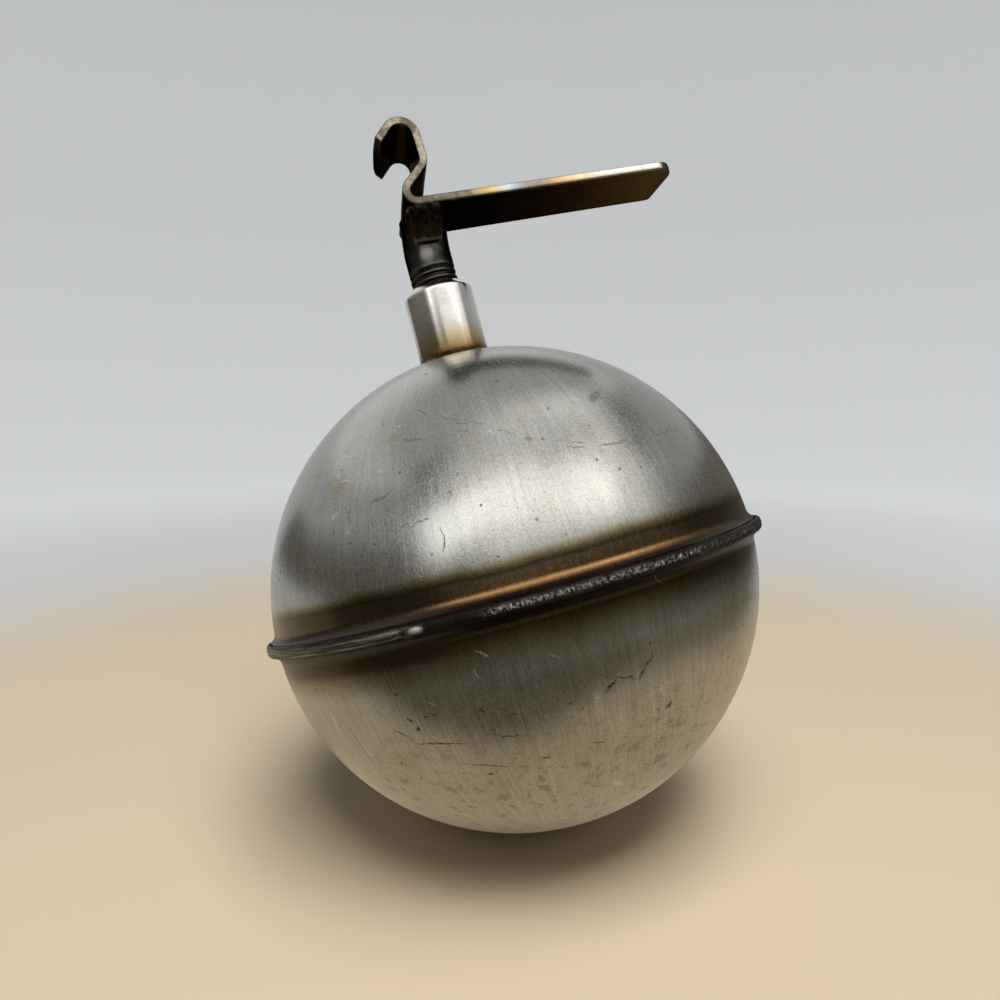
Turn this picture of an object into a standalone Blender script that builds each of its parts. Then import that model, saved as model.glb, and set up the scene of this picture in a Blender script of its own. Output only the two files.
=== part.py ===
"""Float and lever of a float valve: a welded stainless ball on a screwed stem, hung from a strip hook.

Metres, +Z up along the stem, +X along the lever arm, +Y along the pivot pin. The origin is the centre of
the hook's seat, where the valve's pivot pin lies.
"""

import math

import bmesh
import bpy

MM = 0.001
GAP = 0.3

# Where the stem's axis and the ball's centre lie from the pivot pin's centre
STEM_X = 0.2
BALL_Z = -86.0

# Ball: two drawn halves whose lips turn outward to a common edge
BALL_R = 44.45
BALL_POLE = 44.0
WALL = 0.9
LIP_R = 45.3
FLARE_R = 2.0
FLARE_X = BALL_R + FLARE_R - 0.1
FLARE_Z = FLARE_R + WALL - 0.05
HOLE_R = 6.0
BALL_STEPS = 60

# Edge weld round the two lips, with a swelling where the run closes on itself
BEAD_IN = LIP_R + GAP
BEAD_OUT = 46.35
BEAD_HALF = 1.0
BEAD_STEPS = 90
CLOSE_ANGLE = math.radians(-122.0)
CLOSE_SPAN = math.radians(3.2)
CLOSE_RISE = 0.35

# Threaded boss through the top of the ball, heights from the ball's centre
BOSS_R = 6.65
BOSS_TOP = 58.5
BOSS_CHAMFER = 1.5
BOSS_SEAT = BALL_POLE - 0.1
SPIGOT_R = HOLE_R - GAP
SPIGOT_END = 41.2
BORE_R = 4.85
BORE_FLOOR = 46.4
BORE_MOUTH = 0.5
BOSS_STEPS = 48
FILLET = 0.9

# Stem: screwed at the foot, two flats at the head where it is welded under the strip
STEM_R = 4.5
STEM_FOOT = 47.0
STEM_HEAD = 72.0
THREAD_END = 62.3
PITCH = 1.27
THREAD_DEPTH = 0.32
ROWS_PER_PITCH = 4
STEM_STEPS = 36
FLAT_START = 65.5
FLAT_END = 66.4
FLAT_HALF = 3.6
HEAD_LEAN = 0.6
FOOT_CHAMFER = 0.7

# Strip: one bend, a straight, a wider bulge and a hook, followed along its middle line
STRIP = 1.5
STRIP_WIDTH = 14.3
STRIP_UNDER = 72.3
ARM_TIP = 53.4
NEAR_CORNER_R = 4.3
FAR_CORNER_R = 1.0
TIP_STEPS = 7
HEEL_X = -0.45
HEEL_R = 2.0
RISE_ANGLE = 42.5
RISE = 4.3
BULGE_R = 3.0
FLANK_ANGLE = 93.0
FLANK = 4.25
SEAT_R = 2.9
SEAT_ANGLE = 225.0
HOOK_END = 3.2
HOOK_BOW = 0.9
BOW_STEPS = 5
HOOK_SKEW = 0.077
ARC_STEP = 11.0
RIM = 0.18

# Fillet welds between the stem's flats and the strip's underside
WELD_HALF = 3.8
WELD_DROP = 5.5
WELD_REACH = 7.0
WELD_STATIONS = 17
WELD_RIPPLE = 0.13


def clear_scene():
    for thing in list(bpy.data.objects):
        bpy.data.objects.remove(thing, do_unlink=True)


def material(name, colour, metallic, roughness):
    made = bpy.data.materials.new(name)
    made.use_nodes = True
    shader = made.node_tree.nodes["Principled BSDF"]
    shader.inputs["Base Color"].default_value = (*colour, 1.0)
    shader.inputs["Metallic"].default_value = metallic
    shader.inputs["Roughness"].default_value = roughness
    return made


def finish(name, form, at, look, smooth=32.0):
    """Turn a bmesh in millimetres into a named object in metres, with its origin at a point."""
    bmesh.ops.remove_doubles(form, verts=form.verts, dist=0.00005)
    bmesh.ops.recalc_face_normals(form, faces=form.faces)
    bmesh.ops.scale(form, vec=(MM, MM, MM), verts=form.verts)
    mesh = bpy.data.meshes.new(name)
    form.to_mesh(mesh)
    form.free()
    made = bpy.data.objects.new(name, mesh)
    made.location = [value * MM for value in at]
    bpy.context.scene.collection.objects.link(made)
    mesh.shade_smooth()
    mesh.set_sharp_from_angle(angle=math.radians(smooth))
    mesh.materials.append(material(name + "_look", *look))
    return made


def spin_profile(profile, steps):
    """A solid of revolution about Z from a closed loop of (radius, height) points."""
    form = bmesh.new()
    ring = [form.verts.new((radius, 0.0, height)) for radius, height in profile]
    edges = []
    for first, second in zip(ring, ring[1:] + ring[:1]):
        on_axis = max(first.co.x, second.co.x) < 1e-6
        if not on_axis:
            edges.append(form.edges.new((first, second)))
    bmesh.ops.spin(
        form,
        geom=ring + edges,
        cent=(0, 0, 0),
        axis=(0, 0, 1),
        angle=2 * math.pi,
        steps=steps,
        use_merge=True,
        use_duplicate=False,
    )
    bmesh.ops.remove_doubles(form, verts=form.verts, dist=0.0001)
    return form


def loft(rings):
    """A closed solid over a row of closed rings that hold the same number of points."""
    form = bmesh.new()
    rows = [[form.verts.new(point) for point in ring] for ring in rings]
    count = len(rows[0])
    for lower, upper in zip(rows, rows[1:]):
        for index in range(count):
            after = (index + 1) % count
            form.faces.new((lower[index], lower[after], upper[after], upper[index]))
    form.faces.new(list(reversed(rows[0])))
    form.faces.new(rows[-1])
    return form


def arc(centre, radius, start, end, steps):
    """Points along a circle, angles in degrees, both ends included."""
    out = []
    for index in range(steps + 1):
        angle = math.radians(start + (end - start) * index / steps)
        out.append((centre[0] + radius * math.cos(angle), centre[1] + radius * math.sin(angle)))
    return out


def shell_profile(hole):
    """Half of the ball in section, lip first, up the outside and back down the inside."""
    centre = (FLARE_X, FLARE_Z)
    reach = LIP_R - FLARE_X
    out_angle = -math.degrees(math.acos(reach / FLARE_R))
    in_angle = -math.degrees(math.acos(reach / (FLARE_R + WALL)))
    flare_out = arc(centre, FLARE_R, out_angle, -180.0, 5)
    flare_in = arc(centre, FLARE_R + WALL, in_angle, -180.0, 4)
    inner_r = BALL_R - WALL
    inner_pole = BALL_POLE - WALL
    low = math.asin(FLARE_Z / BALL_POLE)
    high_out = math.acos(hole / BALL_R)
    high_in = math.acos(hole / inner_r)
    outside = []
    for index in range(1, 16):
        angle = low + (high_out - low) * index / 15
        outside.append((BALL_R * math.cos(angle), BALL_POLE * math.sin(angle)))
    inside = []
    for index in range(1, 13):
        angle = low + (high_in - low) * index / 12
        inside.append((inner_r * math.cos(angle), inner_pole * math.sin(angle)))
    return flare_out + outside + list(reversed(inside)) + list(reversed(flare_in))


def build_shells():
    steel = ((0.42, 0.41, 0.39), 1.0, 0.34)
    centre = (STEM_X, 0.0, BALL_Z)
    finish("upper_shell", spin_profile(shell_profile(HOLE_R), BALL_STEPS), centre, steel)
    lower = [(radius, -height) for radius, height in shell_profile(0.0)]
    finish("lower_shell", spin_profile(lower, BALL_STEPS), centre, ((0.40, 0.39, 0.37), 1.0, 0.36))


def build_seam_weld():
    """The edge bead: a rounded band that swells where its end meets its start."""
    rings = []
    section = [(0.0, -0.86), (0.45, -1.0), (0.82, -0.72), (1.0, 0.0), (0.82, 0.72), (0.45, 1.0), (0.0, 0.86)]
    form = bmesh.new()
    for step in range(BEAD_STEPS):
        angle = 2 * math.pi * step / BEAD_STEPS - math.pi
        swell = CLOSE_RISE * math.exp(-(((angle - CLOSE_ANGLE) / CLOSE_SPAN) ** 2))
        ring = []
        for across, along in section:
            radius = BEAD_IN + (BEAD_OUT - BEAD_IN + swell) * across
            height = (BEAD_HALF + 0.4 * swell) * along
            ring.append(form.verts.new((radius * math.cos(angle), radius * math.sin(angle), height)))
        rings.append(ring)
    for first, second in zip(rings, rings[1:] + rings[:1]):
        for index in range(len(section)):
            after = (index + 1) % len(section)
            form.faces.new((first[index], first[after], second[after], second[index]))
    finish("seam_weld", form, (STEM_X, 0.0, BALL_Z), ((0.16, 0.13, 0.11), 1.0, 0.38))


def build_boss():
    """A turned boss with a blind bore, its spigot through the hole in the upper half."""
    profile = [
        (0.0, SPIGOT_END),
        (SPIGOT_R - 0.4, SPIGOT_END),
        (SPIGOT_R, SPIGOT_END + 0.4),
        (SPIGOT_R, BOSS_SEAT),
        (BOSS_R, BOSS_SEAT),
        (BOSS_R, BOSS_TOP - BOSS_CHAMFER),
        (BOSS_R - BOSS_CHAMFER, BOSS_TOP),
        (BORE_R + 0.12, BOSS_TOP),
        (BORE_R, BOSS_TOP - 0.12),
        (BORE_R, BORE_FLOOR + 1.2),
        (BORE_R - 0.9, BORE_FLOOR),
        (0.0, BORE_FLOOR - 1.6),
    ]
    form = spin_profile(profile, BOSS_STEPS)
    finish("float_boss", form, (STEM_X, 0.0, BALL_Z), ((0.72, 0.69, 0.63), 1.0, 0.16))


def build_boss_weld():
    """The fillet in the corner between the boss and the ball."""
    inner = BOSS_R + GAP
    outer = inner + FILLET
    foot_in = BALL_POLE * math.sqrt(1 - (inner / BALL_R) ** 2) + GAP
    foot_out = BALL_POLE * math.sqrt(1 - (outer / BALL_R) ** 2) + GAP
    profile = [
        (inner, foot_in),
        (outer, foot_out),
        (outer - 0.02, foot_out + 0.18),
        (inner + 0.42, foot_in + 0.38),
        (inner + 0.12, foot_in + FILLET),
        (inner, foot_in + FILLET),
    ]
    form = spin_profile(profile, BOSS_STEPS)
    finish("boss_weld", form, (STEM_X, 0.0, BALL_Z), ((0.20, 0.13, 0.08), 1.0, 0.35))


def thread_radius(angle, height):
    """Radius of the stem: a helical V groove that runs out at each end of the thread."""
    phase = (height / PITCH - angle / (2 * math.pi)) % 1.0
    groove = 1.0 - abs(2.0 * phase - 1.0)
    fade = min(1.0, max(0.0, (THREAD_END - height) / PITCH), max(0.0, (height - STEM_FOOT) / 0.8))
    return STEM_R - THREAD_DEPTH * groove * fade


def build_stem():
    heights = []
    rows = int((THREAD_END - STEM_FOOT - FOOT_CHAMFER) / PITCH * ROWS_PER_PITCH)
    for row in range(rows + 1):
        heights.append(STEM_FOOT + FOOT_CHAMFER + row * PITCH / ROWS_PER_PITCH)
    heights += [THREAD_END + 0.4, FLAT_START]
    rings = []

    def ring_at(height, shrink, flat, lean):
        ring = []
        for step in range(STEM_STEPS):
            angle = 2 * math.pi * step / STEM_STEPS
            radius = thread_radius(angle, height) - shrink
            side = max(-flat, min(flat, radius * math.sin(angle)))
            ring.append((radius * math.cos(angle) + lean, side, height))
        return ring

    rings.append(ring_at(STEM_FOOT, FOOT_CHAMFER, STEM_R, 0.0))
    for height in heights:
        rings.append(ring_at(height, 0.0, STEM_R, 0.0))
    rings.append(ring_at(FLAT_END, 0.0, FLAT_HALF, HEAD_LEAN * 0.4))
    rings.append(ring_at(STEM_HEAD, 0.1, FLAT_HALF, HEAD_LEAN))
    finish("stem", loft(rings), (STEM_X, 0.0, BALL_Z), ((0.10, 0.095, 0.085), 1.0, 0.42), 24.0)


def strip_line():
    """The strip's middle line from the arm's tip to the hook's end: points, headings, share of the width."""
    middle = STRIP_UNDER + STRIP / 2
    points = []
    for step in range(TIP_STEPS + 1):
        angle = math.pi / 2 * step / TIP_STEPS
        points.append((ARM_TIP - NEAR_CORNER_R * (1.0 - math.cos(angle)), middle, 180.0, 1.0))
    points.append((HEEL_X, middle, 180.0, 1.0))

    def turn(radius, to):
        x, z, heading, _ = points[-1]
        side = 1.0 if to > heading else -1.0
        start = math.radians(heading)
        cx = x - side * radius * math.sin(start)
        cz = z + side * radius * math.cos(start)
        steps = max(2, math.ceil(abs(to - heading) / ARC_STEP))
        for index in range(1, steps + 1):
            here = heading + (to - heading) * index / steps
            rad = math.radians(here)
            points.append((cx + side * radius * math.sin(rad), cz - side * radius * math.cos(rad), here, 1.0))

    def run(length, width=1.0):
        x, z, heading, _ = points[-1]
        rad = math.radians(heading)
        points.append((x + length * math.cos(rad), z + length * math.sin(rad), heading, width))

    turn(HEEL_R, RISE_ANGLE)
    run(RISE)
    turn(BULGE_R, FLANK_ANGLE)
    run(FLANK)
    turn(SEAT_R, SEAT_ANGLE)
    run(HOOK_END)
    for step in range(1, BOW_STEPS + 1):
        run(HOOK_BOW / BOW_STEPS, (1.0 - step / (BOW_STEPS + 0.5)) ** 0.4)
    return points


def corner_cut(x, radius):
    """How far a rounded corner of the arm's tip draws in from the strip's edge at x."""
    into = x - (ARM_TIP - radius)
    if into <= 0.0:
        return 0.0
    return radius - math.sqrt(max(0.0, radius * radius - into * into))


def build_strip():
    """One length of strip bent flatwise into an arm, a heel, a bulge and a hook, its rims eased.

    From the heel on, the bends lie a few degrees out of square with the strip.
    """
    rings = []
    half = STRIP / 2
    for x, z, heading, width in strip_line():
        near = -STRIP_WIDTH / 2 * width + corner_cut(x, NEAR_CORNER_R)
        far = STRIP_WIDTH / 2 * width - corner_cut(x, FAR_CORNER_R)
        rad = math.radians(heading)
        on_arm = heading == 180.0 and x > HEEL_X
        skew = 0.0 if on_arm else HOOK_SKEW
        ring = []
        for y, lift in (
            (near, half - RIM),
            (near + RIM, half),
            (far - RIM, half),
            (far, half - RIM),
            (far, RIM - half),
            (far - RIM, -half),
            (near + RIM, -half),
            (near, RIM - half),
        ):
            across = x - lift * math.sin(rad) + skew * (y + STRIP_WIDTH / 2)
            ring.append((across + STEM_X, y, z + lift * math.cos(rad) + BALL_Z))
        rings.append(ring)
    finish("lever_strip", loft(rings), (0.0, 0.0, 0.0), ((0.52, 0.47, 0.40), 1.0, 0.30), 25.0)


def build_head_weld(name, side):
    """A fillet weld along one of the stem's flats, up to the strip's edge, with a lumpy face."""
    top = STRIP_UNDER - GAP
    back = FLAT_HALF + GAP
    rings = []
    for station in range(WELD_STATIONS):
        share = station / (WELD_STATIONS - 1) * 2.0 - 1.0
        taper = math.sqrt(max(0.0, 1.0 - abs(share) ** 6)) * 0.75 + 0.25
        lump = WELD_RIPPLE * math.sin(station * 1.9 + (0.0 if side < 0 else 1.3))
        x = HEAD_LEAN * 0.6 + WELD_HALF * share
        reach = back + (WELD_REACH - back) * taper
        drop = WELD_DROP * taper
        ring = [(x, side * back, top), (x, side * back, top - drop)]
        for step in range(1, 6):
            part = step / 6
            bulge = 0.42 * math.sin(math.pi * part) * taper + lump * math.sin(math.pi * part)
            y = back + (reach - back) * part - bulge * 0.6
            z = top - drop * (1.0 - part) + bulge * 0.6
            ring.append((x, side * max(back + 0.05, y), min(top - 0.05, z)))
        ring.append((x, side * reach, top - 0.15))
        ring.append((x, side * (reach - 0.1), top))
        rings.append(ring)
    finish(name, loft(rings), (STEM_X, 0.0, BALL_Z), ((0.14, 0.10, 0.075), 1.0, 0.45), 45.0)


clear_scene()
build_shells()
build_seam_weld()
build_boss()
build_boss_weld()
build_stem()
build_strip()
build_head_weld("front_head_weld", -1.0)
build_head_weld("rear_head_weld", 1.0)
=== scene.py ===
"""Looks, light and camera for a float valve's welded ball float on its hooked strip lever.

Every piece is modelled in millimetres in the row frame and handed to Blender in metres. Each one stands
for one CAD node, rides on that node's body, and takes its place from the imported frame.
"""

import math
from math import cos, radians, sin, sqrt

import bmesh
import bpy
import numpy as np
from mathutils import Matrix, Vector, noise


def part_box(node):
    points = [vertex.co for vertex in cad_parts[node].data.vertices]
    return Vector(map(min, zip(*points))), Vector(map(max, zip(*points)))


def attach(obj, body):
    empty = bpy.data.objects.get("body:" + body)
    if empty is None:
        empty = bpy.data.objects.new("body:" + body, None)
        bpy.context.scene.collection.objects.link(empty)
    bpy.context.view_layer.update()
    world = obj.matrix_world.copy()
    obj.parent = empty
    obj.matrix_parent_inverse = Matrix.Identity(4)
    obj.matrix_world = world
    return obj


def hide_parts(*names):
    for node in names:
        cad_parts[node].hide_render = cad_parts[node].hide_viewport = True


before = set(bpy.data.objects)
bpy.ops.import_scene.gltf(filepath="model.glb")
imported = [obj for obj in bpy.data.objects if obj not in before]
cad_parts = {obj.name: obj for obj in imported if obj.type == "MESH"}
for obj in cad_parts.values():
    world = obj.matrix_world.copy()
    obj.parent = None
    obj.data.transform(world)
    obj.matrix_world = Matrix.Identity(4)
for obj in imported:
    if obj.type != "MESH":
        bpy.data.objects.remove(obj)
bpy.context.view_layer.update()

MM = 0.001
HAIR = 0.002  # kept inside the CAD box's faces, in mm
TURN = 2.0 * math.pi


def box_mm(node):
    """Lowest and highest corner of a CAD node, in millimetres."""
    low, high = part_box(node)
    return np.array(low) / MM, np.array(high) / MM


# ---- places read from the frame ----
bead_low, bead_high = box_mm("seam_weld")
boss_low, boss_high = box_mm("float_boss")
strip_high = box_mm("lever_strip")[1]
shell_low = box_mm("lower_shell")[0]
AXIS_X = float((boss_low[0] + boss_high[0]) / 2)
CENTRE = np.array([AXIS_X, 0.0, float((bead_low[2] + bead_high[2]) / 2)])
BALL_Z = float(CENTRE[2])
FLOOR_Z = float(shell_low[2])
BOSS_R = float((boss_high[0] - boss_low[0]) / 2)
BOSS_TOP = float(boss_high[2]) - BALL_Z
BALL_POLE = BALL_Z - FLOOR_Z - HAIR
ARM_TIP = float(strip_high[0]) - AXIS_X - HAIR
STRIP_HALF_WIDTH = float(strip_high[1])
STRIP_TOP = float(strip_high[2]) - HAIR

# ---- sizes that a box can't give, heights from the ball's centre ----
BALL_R, WALL, LIP_R, HOLE_R = 44.45, 0.9, 45.3, 6.0
FLARE_R, FLARE_X, FLARE_Z = 2.0, 46.35, 2.85
BEAD_IN, BEAD_OUT, BEAD_HALF = 45.6, 46.32, 1.05
CLOSE_ANGLE = radians(-122.0)
BOSS_SEAT, SPIGOT_END, BORE_R, BORE_FLOOR = 43.9, 41.2, 4.85, 46.4
STEM_R, STEM_FOOT, THREAD_END, PITCH, THREAD_DEPTH = 4.5, 47.0, 62.3, 1.27, 0.34
FLAT_START, FLAT_END, FLAT_HALF, HEAD_LEAN = 65.5, 66.4, 3.6, 0.6
STRIP, STRIP_UNDER = 1.5, 72.3
BITE = 0.08  # how far the stem and the head welds run into what they join
STEM_HEAD = STRIP_UNDER + BITE
HEEL_X, HEEL_R, RISE_ANGLE, RISE = -0.45, 2.0, 42.5, 4.3
BULGE_R, FLANK_ANGLE, FLANK, SEAT_R, SEAT_ANGLE = 3.0, 93.0, 4.25, 2.9, 225.0
HOOK_END, HOOK_BOW, HOOK_SKEW = 3.2, 0.9, 0.077
NEAR_CORNER_R, FAR_CORNER_R, RIM, END_EASE = 4.3, 1.0, 0.22, 0.16

# ---- steps round a turned or swept form ----
BALL_STEPS, BEAD_STEPS, BOSS_STEPS, FILLET_STEPS, STEM_STEPS, FLOOR_STEPS = 224, 1560, 128, 300, 96, 96


# ---- meshes ----
def lumps(x, y, z):
    """Blender's own noise at a point, about -1 to 1."""
    return noise.noise(Vector((x, y, z)))


def to_object(name, form, look):
    """Turn a bmesh in millimetres into a smooth object in metres with one material."""
    bmesh.ops.scale(form, vec=(MM, MM, MM), verts=form.verts)
    mesh = bpy.data.meshes.new(name)
    form.to_mesh(mesh)
    form.free()
    mesh.shade_smooth()
    mesh.materials.append(look)
    made = bpy.data.objects.new(name, mesh)
    bpy.context.scene.collection.objects.link(made)
    return made


def piece(name, form, look, body, node, sharp=34.0):
    """Make a piece that rides on a body and stands for a CAD node; edges past sharp degrees stay crisp."""
    bmesh.ops.remove_doubles(form, verts=form.verts, dist=0.0002)
    bmesh.ops.recalc_face_normals(form, faces=form.faces)
    made = to_object(name, form, look)
    made.data.set_sharp_from_angle(angle=radians(sharp))
    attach(made, body)
    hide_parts(node)
    return made


def skin(rows, wrap_rows=False, wrap_columns=True, caps=True):
    """A surface over rows of points, each row an equal number of (x, y, z)."""
    form = bmesh.new()
    grid = [[form.verts.new(point) for point in row] for row in rows]
    count = len(grid[0])
    pairs = list(zip(grid, grid[1:])) + ([(grid[-1], grid[0])] if wrap_rows else [])
    for lower, upper in pairs:
        for index in range(count if wrap_columns else count - 1):
            after = (index + 1) % count
            form.faces.new((lower[index], lower[after], upper[after], upper[index]))
    if caps and not wrap_rows:
        form.faces.new(list(reversed(grid[0])))
        form.faces.new(grid[-1])
    return form


def revolve(profile, steps, wobble=None, closed=True):
    """A turned form about the ball's axis from (radius, height) points; wobble moves a point outward."""
    rows = []
    for step in range(steps):
        angle = TURN * step / steps
        row = []
        for radius, height in profile:
            grow = wobble(angle, radius, height) if wobble else 0.0
            size = math.hypot(radius, height) or 1.0
            wide = radius + grow * radius / size
            tall = height + grow * height / size
            row.append((AXIS_X + wide * cos(angle), wide * sin(angle), BALL_Z + tall))
        rows.append(row)
    return skin(rows, wrap_rows=True, wrap_columns=closed)


def arc(centre, radius, start, end, steps):
    """Points along a circle, angles in degrees, both ends included."""
    turn = np.radians(np.linspace(start, end, steps + 1))
    return [(centre[0] + radius * cos(a), centre[1] + radius * sin(a)) for a in turn]


def smooth(value, low, high):
    """Eases from 0 at low to 1 at high."""
    share = min(1.0, max(0.0, (value - low) / (high - low)))
    return share * share * (3.0 - 2.0 * share)


def shell_profile(hole):
    """Half of the ball in section, lip first, up the outside and back down the inside."""
    centre = (FLARE_X, FLARE_Z)
    reach = LIP_R - FLARE_X
    out_angle = -math.degrees(math.acos(reach / FLARE_R))
    in_angle = -math.degrees(math.acos(reach / (FLARE_R + WALL)))
    flare_out = arc(centre, FLARE_R, out_angle, -180.0, 14)
    flare_in = arc(centre, FLARE_R + WALL, in_angle, -180.0, 8)
    inner_r, inner_pole = BALL_R - WALL, BALL_POLE - WALL
    low = math.asin(FLARE_Z / BALL_POLE)
    outside, inside = [], []
    for turn in np.linspace(low, math.acos(hole / BALL_R), 96)[1:]:
        outside.append((BALL_R * cos(turn), BALL_POLE * sin(turn)))
    for turn in np.linspace(low, math.acos(hole / inner_r), 32)[1:]:
        inside.append((inner_r * cos(turn), inner_pole * sin(turn)))
    ends = [(max(r, hole), h) for r, h in (outside[-1], inside[-1])]
    outside[-1], inside[-1] = ends
    return flare_out + outside, list(reversed(inside)) + list(reversed(flare_in))


def uneven(angle, radius, height):
    """Slight waves left by drawing and polishing, none near the rim or the pole, none inside."""
    size = math.hypot(radius, height)
    if size < BALL_POLE - 0.3:
        return 0.0
    rise = math.asin(min(1.0, abs(height) / size))
    fade = min(1.0, max(0.0, (rise - 0.1) / 0.25)) * min(1.0, max(0.0, (1.38 - rise) / 0.25))
    wide, depth = 2.2 * cos(rise), 0.05
    spot = Vector((wide * cos(angle), wide * sin(angle), height / 20))
    return depth * fade * (noise.noise(spot) + 0.4 * noise.noise(spot * 2.7))


def build_shells(upper_look, lower_look):
    """The ball's two halves: the upper one has the boss's hole, the lower one is whole."""
    outside, inside = shell_profile(HOLE_R)
    form = revolve(outside + inside, BALL_STEPS, uneven)
    piece("upper_half", form, upper_look, "float", "upper_shell")
    outside, inside = shell_profile(0.0)
    loop = [(radius, -height) for radius, height in inside + outside]
    form = revolve(loop, BALL_STEPS, uneven, closed=False)
    piece("lower_half", form, lower_look, "float", "lower_shell")


def build_bead(look):
    """The edge weld: rippled all round, but smooth and grooved lengthwise before the place it closes."""
    rows = []
    ripple_pitch = 1.05
    across = np.linspace(-1.0, 1.0, 17)
    for step in range(BEAD_STEPS):
        angle = TURN * step / BEAD_STEPS - math.pi
        turn_x, turn_y = cos(angle), sin(angle)
        length = angle * BEAD_OUT
        gap = math.degrees(angle - CLOSE_ANGLE)
        grooved = smooth(-gap, 0.2, 1.2) * (1.0 - smooth(-gap, 75.0, 95.0)) if gap < 0 else 0.0
        drop = math.exp(-((gap / 1.5) ** 2)) * 0.5
        hollow = math.exp(-(((gap + 2.6) / 1.0) ** 2)) * 0.5
        shift = 0.55 * lumps(turn_x * 38, turn_y * 38, 2.9)
        uneven_run = lumps(turn_x * 9, turn_y * 9, 0.3)
        coarse = lumps(turn_x * 26, turn_y * 26, 7.3)
        calm = 1.0 - 0.8 * smooth(gap, 0.5, 1.5) * (1.0 - smooth(gap, 8.0, 12.0))
        row = []
        for part in across:
            crown = sqrt(max(0.0, 1.0 - abs(part) ** 2.4))
            wave = sin(TURN * (length + shift + 0.75 * (1.0 - part * part)) / ripple_pitch)
            ripple = 0.11 * wave * (1.0 - part * part) * (0.7 + 1.1 * coarse) * calm
            groove = 0.05 * sin(9.5 * part + 0.7) + 0.03 * sin(21.0 * part)
            rise = (ripple - 0.1) * (1.0 - grooved) + (groove - 0.12) * grooved * crown
            rise += 0.05 * coarse * (1.0 - grooved) + drop * crown - hollow * crown
            radius = BEAD_IN + (BEAD_OUT - BEAD_IN) * crown + rise * crown
            height = (BEAD_HALF + 0.1 * uneven_run + 0.35 * drop) * part + 0.12 * uneven_run
            radius = min(radius, BEAD_OUT + drop)
            row.append((AXIS_X + radius * turn_x, radius * turn_y, BALL_Z + height))
        for part in (0.5, -0.5):
            row.append((AXIS_X + BEAD_IN * turn_x, BEAD_IN * turn_y, BALL_Z + part * BEAD_HALF))
        rows.append(row)
    piece("seam_bead", skin(rows, wrap_rows=True), look, "float", "seam_weld", 60.0)


def build_boss(look):
    """Turned boss: eased rims, a chamfer at the top, a blind bore."""
    spigot_r, ease = 5.7, 0.4
    profile = [(0.0, SPIGOT_END), (spigot_r - ease, SPIGOT_END), (spigot_r, SPIGOT_END + ease)]
    profile += [(spigot_r, BOSS_SEAT), (BOSS_R - 0.25, BOSS_SEAT)]
    profile += arc((BOSS_R - 0.2, BOSS_SEAT + 0.2), 0.2, -80, 0, 4)
    for height in np.linspace(BOSS_SEAT + 1.0, BOSS_TOP - 2.2, 10):
        profile.append((BOSS_R, float(height)))
    profile += arc((BOSS_R - 0.6, BOSS_TOP - 1.75), 0.6, 0, 45, 5)
    profile += arc((BOSS_R - 1.75, BOSS_TOP - 0.35), 0.35, 45, 90, 4)
    profile += [(BORE_R + 0.2, BOSS_TOP - 0.02), (BORE_R + 0.05, BOSS_TOP - 0.06), (BORE_R, BOSS_TOP - 0.2)]
    profile += [(BORE_R, BORE_FLOOR + 1.2), (BORE_R - 0.9, BORE_FLOOR), (0.0, BORE_FLOOR - 1.6)]
    piece("boss", revolve(profile, BOSS_STEPS, closed=False), look, "float", "float_boss", 30.0)


def build_boss_weld(look):
    """The thin fillet in the corner between the boss and the ball, with small ripples."""
    inner, leg = BOSS_R + 0.25, 0.95

    def ball_height(radius):
        return BALL_POLE * sqrt(1.0 - (radius / BALL_R) ** 2)

    rows = []
    for step in range(FILLET_STEPS):
        angle = TURN * step / FILLET_STEPS
        turn_x, turn_y = cos(angle), sin(angle)
        lump = lumps(turn_x * 5, turn_y * 5, 2.0)
        ripple = 0.035 * sin(angle * 52) + 0.1 * lump
        row = []
        for part in np.linspace(0.0, 1.0, 9):
            bulge = sin(math.pi * part) * (0.12 - ripple)
            radius = inner + (leg + 0.15 * lump) * part - bulge
            foot = ball_height(radius) + 0.05
            height = foot + (leg + 0.12 * lump) * (1.0 - part) ** 1.25 - bulge * 0.3
            row.append((radius, height))
        row += [(inner + 0.5, row[4][1] - 0.5), (inner, row[0][1] - 0.85)]
        row = [(r, max(h, ball_height(r) + 0.02)) for r, h in row]
        rows.append([(AXIS_X + r * turn_x, r * turn_y, BALL_Z + h) for r, h in row])
    piece("boss_fillet", skin(rows, wrap_rows=True), look, "float", "boss_weld", 50.0)


def thread_radius(angle, height):
    """Radius of the stem: a helical groove with a rounded root and crest that runs out at both ends."""
    phase = (height / PITCH - angle / TURN) % 1.0
    groove = 0.5 - 0.5 * cos(TURN * phase)
    groove = smooth(groove, 0.12, 0.92)
    fade = min(1.0, max(0.0, (THREAD_END - height) / PITCH), max(0.0, (height - STEM_FOOT) / 0.8))
    return STEM_R - THREAD_DEPTH * groove * fade


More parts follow.
